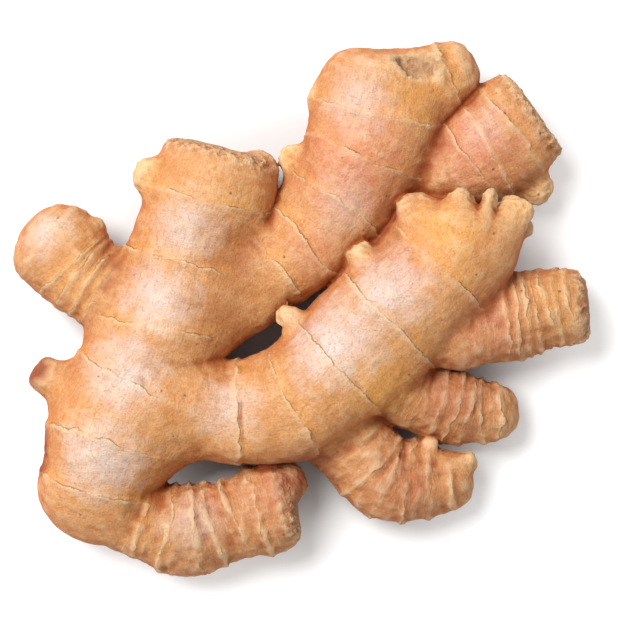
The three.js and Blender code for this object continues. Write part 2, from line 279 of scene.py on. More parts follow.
class Finger:
    """One finger: its middle line sampled closely, with the frame and half width of each section."""

    def __init__(self, index, route, tip, parent, valley, crotch=20, root=None, rings=(), leans=None,
                 ridge=0.0, cracks=(), frayed=False):
        curve = smooth_route(route)
        self.middle = curve[:, :3]
        self.width = curve[:, 3]
        steps = np.linalg.norm(np.diff(self.middle, axis=0), axis=1)
        self.along = np.concatenate([[0], np.cumsum(steps)])
        self.length = self.along[-1]
        self.forward = unit(np.gradient(self.middle, axis=0))
        self.across = unit(np.cross(self.forward, (0, 0, 1)))
        self.over = np.cross(self.across, self.forward)
        self.tip = tip
        self.parent = parent
        self.valley = valley
        self.crotch = crotch
        self.root = (root, root) if root else (0, self.width[0])
        self.rings = rings
        self.ridge = ridge
        self.cracks = cracks
        self.frayed = frayed
        self.phase = index * PHASE_STEP
        chance = np.random.default_rng(SEED + index)
        self.sway = chance.uniform(-1, 1, (len(rings), 2)) * RING_SWAY
        self.leans = leans or (0,) * len(rings)

    def near(self, points):
        """Which points are close enough for this finger to matter."""
        reach = self.width.max() + REACH
        low = self.middle.min(0) - reach
        high = self.middle.max(0) + reach
        return np.all((points > low) & (points < high), axis=1)

    def place(self, points):
        """How far each point is along the finger, across it and over it."""
        nearest = np.empty(len(points), int)
        squares = (self.middle ** 2).sum(1)
        for start in range(0, len(points), BATCH):
            batch = points[start:start + BATCH]
            nearest[start:start + BATCH] = (squares - 2 * batch @ self.middle.T).argmin(1)
        offset = points - self.middle[nearest]
        along = self.along[nearest] + (offset * self.forward[nearest]).sum(1)
        across = (offset * self.across[nearest]).sum(1)
        over = (offset * self.over[nearest]).sum(1)
        return along, across, over

    def past_ring(self, along, turn, number):
        """How far past a ring each place is: a ring leans and wavers round its finger."""
        sway, waver = self.sway[number]
        middle = self.rings[number] + self.leans[number] * np.cos(turn) + sway * np.cos(turn - self.phase)
        return along - middle - waver * np.sin(2 * turn + sway)

    def radius(self, along, turn):
        """The half width of the skin at each place, with its swellings and its rings."""
        slow = np.sin(2 * turn + self.phase + along * LUMP_TURN)
        quick = np.sin(3 * turn - 1.7 * self.phase - along * 0.7 * LUMP_TURN)
        radius = np.interp(along, self.along, self.width) + LUMP * (slow + 0.6 * quick)
        for number in range(len(self.rings)):
            past = self.past_ring(along, turn, number)
            fade = 0.65 + 0.35 * np.sin(2 * turn + 3 * number + self.phase)
            radius += self.ridge * fade * np.exp(-2 * (past / RIDGE_WIDTH) ** 2)
        return radius

    def distance(self, points):
        """How far outside this finger's skin each point is, and how wide its valley is there."""
        along, across, over = self.place(points)
        turn = np.arctan2(over / THICKNESS, across)
        girth = np.hypot(across, over / THICKNESS)
        radius = self.radius(along, turn)
        into_tip = np.maximum((along - self.length) / self.tip[0] + 1, 0)
        into_root = np.maximum((self.root[0] - along) / self.root[1], 0)
        at_root = into_root > 0
        end = np.where(at_root, into_root, into_tip)
        square = np.where(at_root, 2, self.tip[1])
        length = np.where(at_root, self.root[1], self.tip[0])
        share = (end ** square + (girth / radius) ** square) ** (1 / square)
        scale = radius + (length - radius) * np.minimum(end, 1)
        valley = self.valley * (1 - ease(along, self.crotch, self.crotch + CROTCH_FADE))
        return (share - 1) * scale, valley


def make_fingers():
    """All fingers and buds, by name."""
    growth = {**FINGERS, **BUDS}
    return {name: Finger(index, **facts) for index, (name, facts) in enumerate(growth.items())}


def joined(near, far, valley):
    """The lesser of two distances, eased into each other over a valley's width."""
    valley = np.maximum(valley, NO_VALLEY)
    share = np.clip(0.5 + 0.5 * (far - near) / valley, 0, 1)
    return far * (1 - share) + near * share - valley * share * (1 - share)


def skin_distance(fingers, points):
    """How far outside the whole root's skin each point is, and how far outside each finger's."""
    own, valleys = {}, {}
    for name, finger in fingers.items():
        own[name] = np.full(len(points), FAR)
        valleys[name] = np.zeros(len(points))
        near = finger.near(points)
        own[name][near], valleys[name][near] = finger.distance(points[near])
    whole = own["stem"]
    for name, finger in fingers.items():
        if finger.parent:
            whole = np.minimum(whole, joined(own[name], own[finger.parent], valleys[name]))
    reach = np.array(STALK_SCAR["reach"])
    inside_scar = (1 - np.linalg.norm((points - STALK_SCAR["middle"]) / reach, axis=1)) * reach.min()
    whole = -joined(-whole, -inside_scar, SCAR_EDGE)
    return -joined(-whole, points[:, 2], TABLE_EDGE), own


def fill_corners(inside):
    """Fills the corners at which two inside cells would only touch, until the net is a clean skin."""
    inside = inside.copy()
    before = 0
    while inside.sum() > before:
        before = inside.sum()
        for first, second in ((0, 1), (1, 2), (0, 2)):
            views = []
            for a, b in itertools.product((0, 1), repeat=2):
                cut = [slice(None)] * 3
                cut[first] = slice(a, a - 1 or None)
                cut[second] = slice(b, b - 1 or None)
                views.append(inside[tuple(cut)])
            low, right, left, high = views
            crossed = (low == high) & (left == right) & (low != left)
            for view in views:
                view |= crossed
    return inside


def flooded(room, start):
    """The cells of a room that a flood from the start cells reaches."""
    wet = start & room
    before = 0
    while wet.sum() > before:
        before = wet.sum()
        for axis in range(3):
            for shift in (1, -1):
                wet |= np.roll(wet, shift, axis) & room
    return wet


def one_piece(inside, deepest):
    """The inside without hidden bubbles and loose crumbs."""
    border = np.ones(inside.shape, bool)
    border[1:-1, 1:-1, 1:-1] = False
    inside = ~flooded(~inside, border)
    start = np.zeros(inside.shape, bool)
    start[deepest] = True
    return flooded(inside, start)


def skin_net(values, low, step):
    """The net of four-sided faces where the field changes sign: one point in each cell that it crosses."""
    inside = one_piece(fill_corners(values < 0), np.unravel_index(values.argmin(), values.shape))
    values = np.where(inside, np.minimum(values, -0.01), np.maximum(values, 0.01))
    cells = tuple(size - 1 for size in values.shape)
    place = np.zeros(cells + (3,))
    count = np.zeros(cells)
    for corner in itertools.product((0, 1), repeat=3):
        start = values[tuple(slice(at, at + size) for at, size in zip(corner, cells))]
        for axis in range(3):
            if corner[axis]:
                continue
            other = [at + (k == axis) for k, at in enumerate(corner)]
            end = values[tuple(slice(at, at + size) for at, size in zip(other, cells))]
            crossed = (start < 0) != (end < 0)
            share = start / (start - end + (start == end))
            for k in range(3):
                place[..., k] += crossed * (share if k == axis else corner[k])
            count += crossed
    used = count > 0
    number = np.full(cells, -1)
    number[used] = np.arange(used.sum())
    points = low + (np.argwhere(used) + place[used] / count[used][:, None]) * step

    faces = []
    for axis in range(3):
        here = inside[tuple(slice(0, -1) if k == axis else slice(1, -1) for k in range(3))]
        there = inside[tuple(slice(1, None) if k == axis else slice(1, -1) for k in range(3))]
        crossed = here != there
        edge = np.argwhere(crossed) + [int(k != axis) for k in range(3)]
        right = np.eye(3, dtype=int)[(axis + 1) % 3]
        up = np.eye(3, dtype=int)[(axis + 2) % 3]
        loop = [edge - right - up, edge - up, edge, edge - right]
        quads = np.stack([number[tuple(cell.T)] for cell in loop], axis=1)
        inward = ~here[crossed]
        quads[inward] = quads[inward][:, ::-1]
        faces.append(quads)
    return points, np.vstack(faces)


def face_normals(points, faces):
    """The direction that the skin faces at each point."""
    normals = np.zeros_like(points)
    facing = np.cross(points[faces[:, 2]] - points[faces[:, 0]], points[faces[:, 3]] - points[faces[:, 1]])
    for corner in range(4):
        for k in range(3):
            normals[:, k] += np.bincount(faces[:, corner], facing[:, k], len(points))
    return unit(normals)


def neighbour_mean(points, faces):
    """The middle of each point's neighbours."""
    total = np.zeros_like(points)
    count = np.bincount(faces.ravel(), minlength=len(points))
    for corner in range(4):
        for other in (corner - 1, (corner + 1) % 4):
            for k in range(3):
                total[:, k] += np.bincount(faces[:, corner], points[faces[:, other], k], len(points))
    return total / (2 * count[:, None])


def settle(fingers, points, faces, passes):
    """Evens out the net, and moves it onto the skin."""
    for _ in range(passes):
        points = 0.5 * points + 0.5 * neighbour_mean(points, faces)
        whole, _own = skin_distance(fingers, points)
        points = points - np.clip(whole, -1, 1)[:, None] * face_normals(points, faces)
    return points


def mesh_from(name, points, faces):
    """A mesh in metres from points in millimetres."""
    mesh = bpy.data.meshes.new(name)
    mesh.from_pydata((points * MM).tolist(), [], faces.tolist())
    mesh.update()
    return mesh


def subdivide(points, faces):
    """The points and faces of the skin with each face cut in four by a subdivision surface."""
    piece = bpy.data.objects.new("coarse skin", mesh_from("coarse skin", points, faces))
    bpy.context.scene.collection.objects.link(piece)
    finer = piece.modifiers.new("finer", "SUBSURF")
    finer.levels = 1
    finer.render_levels = 1
    evaluated = piece.evaluated_get(bpy.context.evaluated_depsgraph_get())
    mesh = evaluated.to_mesh()
    flat = np.empty(len(mesh.vertices) * 3)
    mesh.vertices.foreach_get("co", flat)
    corners = np.empty(len(mesh.loops), int)
    mesh.loops.foreach_get("vertex_index", corners)
    evaluated.to_mesh_clear()
    coarse = piece.data
    bpy.data.objects.remove(piece)
    bpy.data.meshes.remove(coarse)
    return flat.reshape(-1, 3) / MM, corners.reshape(-1, 4)


def soft_noise(places, size, seed=0):
    """Smooth noise between about -1 and 1, with patches of the given size."""
    shifted = places / size + seed * 17.3
    return np.array([noise.noise(place) for place in shifted.tolist()])


def ease(value, start, end):
    """A smooth step from 0 at start to 1 at end."""
    share = np.clip((value - start) / (end - start), 0, 1)
    return share * share * (3 - 2 * share)


def patches(points, spots, seed):
    """How strongly each point is in one of the patches, with ragged edges."""
    ragged = 0.35 * soft_noise(points, 4, seed) + 0.2 * soft_noise(points, 1.6, seed + 1)
    strength = np.zeros(len(points))
    for x, y, z, radius, strong in spots:
        away = np.linalg.norm(points - (x, y, z), axis=1) / radius
        strength = np.maximum(strength, strong * np.clip(1.15 - away + ragged, 0, 1))
    return strength


def depth_below(points, normals, faces, passes):
    """How far each point lies below its surroundings: above zero in a valley and below zero on a crest."""
    spread = points
    for _ in range(passes):
        spread = neighbour_mean(spread, faces)
    return ((spread - points) * normals).sum(1)


def ring_marks(finger, along, turn, points, sizes):
    """The leaf scars of one finger: their relief in millimetres, and the strength of each of their marks."""
    relief = np.zeros(len(along))
    marks = {name: np.zeros(len(along)) for name in ("ring_side", "ring_near", "golden", "pale")}
    ragged = 0.7 * soft_noise(points, 4.5, 3) + 0.32 * soft_noise(points, 1.7, 4)
    ragged += 0.12 * soft_noise(points, 0.8, 7)
    ragged *= 1 + 0.9 * finger.ridge
    patchy = ease(soft_noise(points, 6, 5) + 0.5 * soft_noise(points, 2, 6), -0.6 + 0.8 * finger.ridge, 0.4)
    golden_reach = GOLDEN_REACH * (1 - finger.ridge)
    pale_reach = PALE_REACH * (1 - finger.ridge)
    for number in range(len(finger.rings)):
        past = finger.past_ring(along, turn, number) + ragged
        split = number in finger.cracks
        worn = np.maximum(patchy, 0.8) if split else patchy
        lip = np.where(past < 0, np.exp(past / LIP_RISE), np.exp(-past / LIP_FALL))
        groove = np.exp(-((past - GROOVE_AT) / GROOVE_WIDTH) ** 2)
        higher, deeper = (1.4, 2.2) if split else (1 + finger.ridge ** 2, 1)
        relief += (0.3 + 0.7 * worn) * sizes.lip / MM * lip * higher
        relief -= (0.15 + 0.85 * worn) * sizes.groove / MM * groove * deeper
        close = np.exp(-(past / RING_REACH) ** 2)
        nearer = close > marks["ring_near"]
        marks["ring_side"][nearer] = (past * np.exp(-np.abs(past) / RING_REACH))[nearer]
        marks["ring_near"][nearer] = close[nearer]
        marks["golden"] = np.maximum(marks["golden"], np.where(past > 0, np.exp(-past / golden_reach), 0))
        marks["pale"] = np.maximum(marks["pale"], np.where(past < 0, np.exp(past / pale_reach), 0))
    marks["ring_near"] *= (0.25 + 0.75 * patchy) * (1 - 0.45 * finger.ridge)
    return relief, marks


def crumbs(points, size, seed):
    """Sharp-crested noise between 0 and 1, for crumpled and frayed skin."""
    return 1 - np.minimum(np.abs(soft_noise(points, size, seed)) * 2.5, 1)


def skin_marks(fingers, points, own, sizes):
    """The fine relief of the skin at each point, in millimetres, and the strength of each of its marks."""
    away = np.stack(list(own.values()))
    share = np.exp(-(away - away.min(0)) / MARK_BLEND)
    share /= share.sum(0)
    swell = 0.5 * soft_noise(points, 12, 1) + 0.2 * soft_noise(points, 5.5, 2)
    swell += 0.08 * soft_noise(points, 2.6, 8)
    relief = swell * sizes.swell / MM
    knobbly = 0.7 * soft_noise(points, 3.8, 11) + 0.3 * soft_noise(points, 1.9, 12)
    crumple = crumbs(points, 2.6, 13) + 0.5 * crumbs(points, 1.3, 14) - 0.8
    names = ("ring_side", "ring_near", "golden", "pale", "ringed", "scar", "bud", "frayed")
    marks = {name: np.zeros(len(points)) for name in names}
    for finger, weight in zip(fingers.values(), share):
        mine = weight > 0.02
        part = weight[mine]
        along, across, over = finger.place(points[mine])
        turn = np.arctan2(over / THICKNESS, across)
        girth = np.hypot(across, over / THICKNESS) / finger.radius(along, turn)
        place = np.stack([along, across, over], axis=1)
        folds = place / FOLD_RELIEF
        folded = soft_noise(folds, 1, 9) + 0.4 * soft_noise(folds, 0.5, 10)
        height, found = ring_marks(finger, along, turn, points[mine], sizes)
        height += soft_noise(place / FIBRE_RELIEF, 1, 9) * sizes.fibre / MM
        height += finger.ridge * (knobbly[mine] * sizes.knobs + folded * sizes.folds) / MM
        found["ringed"] = np.full(len(part), min(finger.ridge / 0.6, 1) ** 2)
        to_end = ease(along, finger.length - FRAY_REACH, finger.length - 1)
        if finger.frayed:
            found["frayed"] = to_end * ease(girth, 0.5, 0.85)
            found["scar"] = to_end * ease(girth, 0.95, 0.7)
            height += found["frayed"] * crumple[mine] * sizes.crumple / MM
        if not finger.rings:
            found["bud"] = ease(along / finger.length, 0.25, 0.9)
            height += found["bud"] * crumple[mine] * 0.6 * sizes.crumple / MM
        relief[mine] += part * height
        for name, strength in found.items():
            marks[name][mine] += part * strength
    return relief, marks


def grain_of(fingers, points, faces, owner):
    """Each face corner's place along, across and over the finger that owns its face."""
    grain = np.zeros((len(faces), 4, 3))
    face_owner = owner[faces[:, 0]]
    for number, finger in enumerate(fingers.values()):
        mine = face_owner == number
        place = finger.place(points[faces[mine].ravel()])
        grain[mine] = np.stack(place, axis=1).reshape(-1, 4, 3)
    return grain


def grow_skin(sizes):
    """The whole root's skin: its points and faces in millimetres, its marks, and its grain."""
    fingers = make_fingers()
    step = sizes.fineness / MM
    low, high = (np.array(corner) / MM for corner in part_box(NODE))
    sides = [np.arange(start - NET_MARGIN, end + NET_MARGIN, step) for start, end in zip(low, high)]
    low = low - NET_MARGIN
    grid = np.stack(np.meshgrid(*sides, indexing="ij"), axis=-1)
    whole, _own = skin_distance(fingers, grid.reshape(-1, 3))
    points, faces = skin_net(whole.reshape(grid.shape[:3]), low, step)
    points = settle(fingers, points, faces, SETTLE_PASSES)
    points, faces = subdivide(points, faces)
    points = settle(fingers, points, faces, 1)
    _whole, own = skin_distance(fingers, points)
    relief, marks = skin_marks(fingers, points, own, sizes)
    grain = grain_of(fingers, points, faces, np.stack(list(own.values())).argmin(0))
    for name, spots, seed in PATCHES:
        marks[name] = patches(points, spots, seed)
    hollow = np.linalg.norm((points - STALK_SCAR["middle"]) / STALK_SCAR["reach"], axis=1)
    stalk = ease(hollow + 0.12 * soft_noise(points, 1.5, 31), 1.5, 0.9)
    marks["scar"] = np.maximum(marks["scar"], stalk)
    relief += stalk * (crumbs(points, 1.7, 30) - 0.5) * sizes.crumple / MM
    points = points + relief[:, None] * face_normals(points, faces)
    points[:, 2] = np.maximum(points[:, 2], 0)
    normals = face_normals(points, faces)
    # Painted shade: skin that faces sideways and down is marked for a deeper orange.
    marks["shaded_flank"] = ease(normals[:, 2], FLANK_START, FLANK_END)
    # Painted shade: how deep each place lies in a narrow valley or a broad hollow, for the darker crease
    # colour.
    marks["valley"] = depth_below(points, normals, faces, VALLEY_PASSES)
    marks["hollow"] = depth_below(points, normals, faces, HOLLOW_PASSES)
    return points, faces, marks, grain


def to_linear(hex_colour):
    """An sRGB hex colour as the linear colour that a shader takes."""
    shares = [int(hex_colour[at:at + 2], 16) / 255 for at in (0, 2, 4)]
    return [share / 12.92 if share <= 0.04045 else ((share + 0.055) / 1.055) ** 2.4 for share in shares]


def add_node(tree, kind, inputs=None, **settings):
    """Adds a node with its settings. Each input is a value, or the output that is linked to it."""
    node = tree.nodes.new(kind)
    for name, value in settings.items():
        setattr(node, name, value)
    for key, value in (inputs or {}).items():
        if isinstance(value, bpy.types.NodeSocket):
            tree.links.new(value, node.inputs[key])
        else:
            node.inputs[key].default_value = value
    return node


# The sockets of a Mix node that is set to colours: its inputs, and its output.
SHARE, UNDER, OVER, MIXED = 0, 6, 7, 2

# The marks that the skin's mesh carries for its material, and the patterns' sizes along, across and over a
# finger, in millimetres. Real fibres are finer, and are drawn wide enough to show.
MARKS = ("ring_side", "ring_near", "golden", "pale", "ringed", "scar", "bud", "frayed",
         "blush", "gold", "rust_and_shade", "painted_highlight", "shaded_flank", "valley", "hollow")
FIBRE_SIZE = (3.2, 0.5, 0.5)
WRINKLE_SIZE = (0.5, 2.6, 2.6)

# The smallest size of a pattern, in metres.
SMALLEST = 0.0001

# The levels of a leaf scar's pale lip, dark line and raised edge, by how far past the scar a place is, from
# -1 to 1.
RING_BANDS = {
    "lip": ((-0.4, 0.0), (-0.2, 1.0), (-0.1, 1.0), (-0.02, 0.0)),
    "line": ((-0.04, 0.0), (0.03, 1.0), (0.08, 1.0), (0.3, 0.0)),
    "step": ((-0.5, 0.0), (-0.03, 1.0), (0.06, 0.0), (1.0, 0.0)),
}


def skin_material(colours, finish):
    """Fresh ginger's skin: thin dry cork over moist flesh, so it looks satin, warm and finely fibrous."""
    material = bpy.data.materials.new("ginger skin")
    material.use_nodes = True
    tree = material.node_tree
    shader = tree.nodes["Principled BSDF"]
    mark = {name: add_node(tree, "ShaderNodeAttribute", attribute_name=name).outputs["Fac"] for name in MARKS}
    grain = add_node(tree, "ShaderNodeAttribute", attribute_name="grain").outputs["Vector"]
    place = add_node(tree, "ShaderNodeTexCoord").outputs["Object"]

    # Mottling a few millimetres across, pores, and the fibres and wrinkles that follow each finger.
    pattern = {}
    for name, vector, scale, detail in (
            ("mottle", place, 1 / finish.mottle, 4.0),
            ("grit", place, 1 / finish.grit, 3.0),
            ("pores", place, 1 / finish.pore, 2.0)):
        pattern[name] = add_node(tree, "ShaderNodeTexNoise", {
            "Vector": vector, "Scale": scale, "Detail": detail, "Roughness": 0.6}).outputs["Fac"]
    for name, size in (("fibres", FIBRE_SIZE), ("wrinkles", WRINKLE_SIZE)):
        stretched = add_node(tree, "ShaderNodeMapping", {
            "Vector": grain, "Scale": [1 / width for width in size]}).outputs["Vector"]
        pattern[name] = add_node(tree, "ShaderNodeTexNoise", {
            "Vector": stretched, "Scale": 1.0, "Detail": 3.0, "Roughness": 0.65}).outputs["Fac"]

    # A leaf scar's pale lip, dark line and raised edge, frayed by the pores.
    fray = add_node(tree, "ShaderNodeMath", {0: pattern["pores"], 1: 0.5, 2: -0.25}, operation="MULTIPLY_ADD")
    side = add_node(tree, "ShaderNodeMath", {0: mark["ring_side"], 1: fray.outputs[0]}, operation="ADD")
    spread = add_node(tree, "ShaderNodeMapRange", {
        "Value": side.outputs[0], "From Min": -1.0, "From Max": 1.0})
    band = {}
    for name, stops in RING_BANDS.items():
        ramp = add_node(tree, "ShaderNodeValToRGB", {"Fac": spread.outputs["Result"]})
        elements = ramp.color_ramp.elements
        while len(elements) < len(stops):
            elements.new(0.5)
        for element, (past, level) in zip(elements, stops):
            element.position = (past + 1) / 2
            element.color = (level, level, level, 1)
        band[name] = add_node(tree, "ShaderNodeMath", {0: ramp.outputs["Color"], 1: mark["ring_near"]},
                              operation="MULTIPLY").outputs[0]

    # Small dark specks, one in every other cell of a few millimetres.
    cells = add_node(tree, "ShaderNodeTexVoronoi", {"Vector": place, "Scale": 1 / finish.speck_gap})
    speck = add_node(tree, "ShaderNodeMapRange", {
        "Value": cells.outputs["Distance"], "From Min": 0.09, "From Max": 0.05})
    chosen = add_node(tree, "ShaderNodeMath", {0: cells.outputs["Color"], 1: 0.5}, operation="GREATER_THAN")
    specks = add_node(tree, "ShaderNodeMath", {0: speck.outputs["Result"], 1: chosen.outputs[0]},
                      operation="MULTIPLY").outputs[0]

    # Hairline cracks: the borders of wandering cells about a centimetre across, in patches.
    bends = add_node(tree, "ShaderNodeTexNoise", {"Vector": place, "Scale": 1 / finish.crack_bend})
    bent = add_node(tree, "ShaderNodeVectorMath", {
        0: bends.outputs["Color"], 1: (finish.crack_bend,) * 3, 2: place}, operation="MULTIPLY_ADD")
    borders = add_node(tree, "ShaderNodeTexVoronoi", {
        "Vector": bent.outputs[0], "Scale": 1 / finish.crack_gap}, feature="DISTANCE_TO_EDGE")
    thin = add_node(tree, "ShaderNodeMapRange", {
        "Value": borders.outputs["Distance"], "From Min": 0.022, "From Max": 0.008})
    where = add_node(tree, "ShaderNodeMapRange", {
        "Value": pattern["mottle"], "From Min": 0.5, "From Max": 0.62})
    hairlines = add_node(tree, "ShaderNodeMath", {0: thin.outputs["Result"], 1: where.outputs["Result"]},
                         operation="MULTIPLY").outputs[0]

    # Papery flecks and darker troughs across a ringed finger, and the crumbs of a frayed end.
    flecks = {}
    for name, none, full, on in (("fleck", 0.53, 0.64, "ringed"), ("trough", 0.46, 0.34, "ringed"),
                                 ("crumb", 0.5, 0.62, "frayed"), ("dirt", 0.48, 0.38, "frayed")):
        source = pattern["wrinkles" if on == "ringed" else "grit"]
        level = add_node(tree, "ShaderNodeMapRange", {"Value": source, "From Min": none, "From Max": full})
        flecks[name] = add_node(tree, "ShaderNodeMath", {0: level.outputs["Result"], 1: mark[on]},
                                operation="MULTIPLY").outputs[0]

    # How strongly each colour lies over the ones before it: a source, and its levels for none and for all.
    layers = (
        (mark["pale"], 0.2, 1.0, colours.pale, 0.4),
        (pattern["mottle"], 0.4, 0.65, colours.pale, 0.45),
        (mark["golden"], 0.1, 1.0, colours.gold, 0.4),
        (mark["blush"], 0.0, 1.0, colours.blush, 0.75),
        (mark["gold"], 0.0, 1.0, colours.gold, 0.7),
        # Painted highlight: pale silvery skin where the lamp's sheen falls.
        (mark["painted_highlight"], 0.0, 1.0, colours.painted_highlight, 0.75),
        # Painted shade: a deeper orange on the flanks that face sideways and down.
        (mark["shaded_flank"], 0.0, 1.0, colours.shaded_flank, 0.66),
        (mark["bud"], 0.0, 1.0, colours.bud, 0.5),
        (pattern["fibres"], 0.45, 0.75, colours.streak, 0.3),
        (pattern["grit"], 0.5, 0.68, colours.streak, 0.25),
        (pattern["grit"], 0.47, 0.3, colours.pale, 0.3),
        (pattern["pores"], 0.5, 0.75, colours.streak, 0.3),
        (mark["ringed"], 0.0, 1.0, colours.streak, 0.25),
        (flecks["trough"], 0.0, 1.0, colours.shaded_flank, 0.25),
        (flecks["fleck"], 0.0, 1.0, colours.papery, 0.25),
        # Partly papery skin and partly painted highlight: raised crests are paler.
        (mark["valley"], -0.05, -0.35, colours.papery, 0.45),
        # Painted shade: darker in the hollows and valleys between fingers.
        (mark["hollow"], 0.05, 0.9, colours.crease_shade, 0.8),
        (mark["valley"], 0.06, 0.5, colours.crease_shade, 0.85),
        (mark["scar"], 0.0, 1.0, colours.scar, 0.6),
        (flecks["dirt"], 0.0, 1.0, colours.rust_and_shade, 0.55),
        (flecks["crumb"], 0.0, 1.0, colours.papery, 0.5),
        # Browned tips, and painted shade on the stem's right half.
        (mark["rust_and_shade"], 0.0, 1.0, colours.rust_and_shade, 0.9),
        (hairlines, 0.0, 1.0, colours.ring, 0.2),
        (band["lip"], 0.1, 0.8, colours.papery, 0.22),
        (band["line"], 0.1, 0.8, colours.ring, 0.7),
        (specks, 0.0, 1.0, colours.speck, 0.7),
    )
    colour = add_node(tree, "ShaderNodeRGB").outputs[0]
    colour.default_value = (*colours.base, 1)
    for source, none, full, over, strength in layers:
        share = add_node(tree, "ShaderNodeMapRange", {
            "Value": source, "From Min": none, "From Max": full, "To Max": strength})
        colour = add_node(tree, "ShaderNodeMix", {
            SHARE: share.outputs["Result"], UNDER: colour, OVER: (*over, 1)}, data_type="RGBA").outputs[MIXED]
    tree.links.new(colour, shader.inputs["Base Color"])

    # Dry skin is satin, and duller where the fibres stand up, at the papery lips and on the dusty flanks.
    rough = add_node(tree, "ShaderNodeMapRange", {
        "Value": pattern["fibres"], "From Min": 0.3, "From Max": 0.75,
        "To Min": finish.roughness - 0.07, "To Max": finish.roughness + 0.13})
    duller = add_node(tree, "ShaderNodeMath", {0: band["lip"], 1: 0.25, 2: rough.outputs["Result"]},
                      operation="MULTIPLY_ADD")
    dusty = add_node(tree, "ShaderNodeMath", {0: mark["shaded_flank"], 1: 0.35, 2: duller.outputs[0]},
                     operation="MULTIPLY_ADD")
    tree.links.new(dusty.outputs[0], shader.inputs["Roughness"])

    # The finest relief, in millimetres.
    height = None
    for source, depth in ((pattern["fibres"], 0.09), (pattern["pores"], 0.12), (pattern["grit"], 0.3),
                          (pattern["wrinkles"], 0.1), (flecks["fleck"], 0.15), (flecks["crumb"], 0.3),
                          (band["step"], 0.2), (band["line"], -0.1), (hairlines, -0.05), (specks, -0.08)):
        height = add_node(tree, "ShaderNodeMath", {0: source, 1: depth, 2: height or 0.0},
                          operation="MULTIPLY_ADD").outputs[0]
    bump = add_node(tree, "ShaderNodeBump", {"Height": height, "Distance": MM, "Strength": finish.bump})
    tree.links.new(bump.outputs["Normal"], shader.inputs["Normal"])

    for name, value in (("IOR", 1.36), ("Specular IOR Level", 0.5), ("Subsurface Weight", 0.12),
                        ("Subsurface Radius", (1.0, 0.42, 0.18)), ("Subsurface Scale", 0.0025)):
        shader.inputs[name].default_value = value
    return material


def floor_material(colour, glow):
    """The studio's matt white board, which glows more and more away from the root though it is no lamp:
    painted light, so that its shadows stay light.
    """
    material = bpy.data.materials.new("white board")
    material.use_nodes = True
    tree = material.node_tree
    shader = tree.nodes["Principled BSDF"]
    shader.inputs["Base Color"].default_value = (*colour, 1)
    shader.inputs["Roughness"].default_value = 0.95
    shader.inputs["Specular IOR Level"].default_value = 0.0
    shader.inputs["Emission Color"].default_value = (1, 1, 1, 1)
    place = add_node(tree, "ShaderNodeTexCoord").outputs["Object"]
    away = add_node(tree, "ShaderNodeVectorMath", {0: place}, operation="LENGTH")
    painted_glow = add_node(tree, "ShaderNodeMapRange", {
        "Value": away.outputs["Value"], "From Min": GLOW_START, "From Max": GLOW_END, "To Max": glow},
        interpolation_type="SMOOTHSTEP")
    tree.links.new(painted_glow.outputs["Result"], shader.inputs["Emission Strength"])
    return material


def number_of(name, description, default, lowest=0, **settings):
    """A number that a user can change."""
    return bpy.props.FloatProperty(name=name, description=description, default=default, min=lowest, **settings)


def length(name, description, default, lowest=0):
    """A size that a user can change, given in metres."""
    return number_of(name, description, default, lowest, subtype="DISTANCE", unit="LENGTH", precision=5)


def colour_of(name, description, hex_colour):
    """A colour that a user can change."""
    return bpy.props.FloatVectorProperty(name=name, description=description, default=to_linear(hex_colour),
                                         subtype="COLOR", size=3, min=0, max=1)


class GINGER_PG_sizes(bpy.types.PropertyGroup):
    """How finely the skin is made, and how high its relief stands."""
    fineness: length("Fineness", "Width of a cell of the net that the skin is made from", 0.0011, 0.0005)
    swell: length("Swelling", "Height of the skin's soft unevenness", 0.0009)
    knobs: length("Knobs", "Height of the small knobs of a ringed finger", 0.0009)
    folds: length("Folds", "Height of the small folds across a ringed finger", 0.00055)
    crumple: length("Crumple", "Height of the crumpled skin at buds and blunt ends", 0.0007)
    fibre: length("Fibres", "Depth of the fibres that run along each finger", 0.00008)
    lip: length("Scar lips", "Height of the lip of a leaf scar", 0.00028)
    groove: length("Scar grooves", "Depth of the groove beside a leaf scar", 0.00015)


class GINGER_PG_colours(bpy.types.PropertyGroup):
    """The colours of the skin."""
    base: colour_of("Skin", "Main colour of the skin", "bb804b")
    pale: colour_of("Pale skin", "Dry pale mottling", "cda070")
    # Painted shade: the deeper colour given to the flanks that face away from the top.
    shaded_flank: colour_of("Flanks", "Deeper colour of the skin that faces sideways and down", "b0561f")
    streak: colour_of("Fibre streaks", "Darker fibres and pores", "8a562f")
    blush: colour_of("Blush", "Pink of the young skin", "c0705e")
    gold: colour_of("Gold", "Yellow of the thin skin over fresh flesh", "e0a045")
    bud: colour_of("Buds", "Tips of the buds", "cda773")
    # Painted shade: the colour that darkens the valleys and hollows between fingers.
    crease_shade: colour_of("Creases", "Valleys between fingers", "8a3f12")
    # Painted highlight: the silvery colour laid where the lamp's sheen falls.
    painted_highlight: colour_of("Bloom", "Silvery dry film on the old skin", "cbc5c3")
    # Browned tips, and painted shade on the stem's right half.
    rust_and_shade: colour_of("Rust", "Tips that have browned", "7c2f0a")
    scar: colour_of("Scars", "Dry ends where a stalk broke away", "a08566")
    papery: colour_of("Scar lips", "Papery edge of a leaf scar", "cfb590")
    ring: colour_of("Scar lines", "Dark line of a leaf scar", "6c3b19")
    speck: colour_of("Specks", "Small dark specks", "613719")


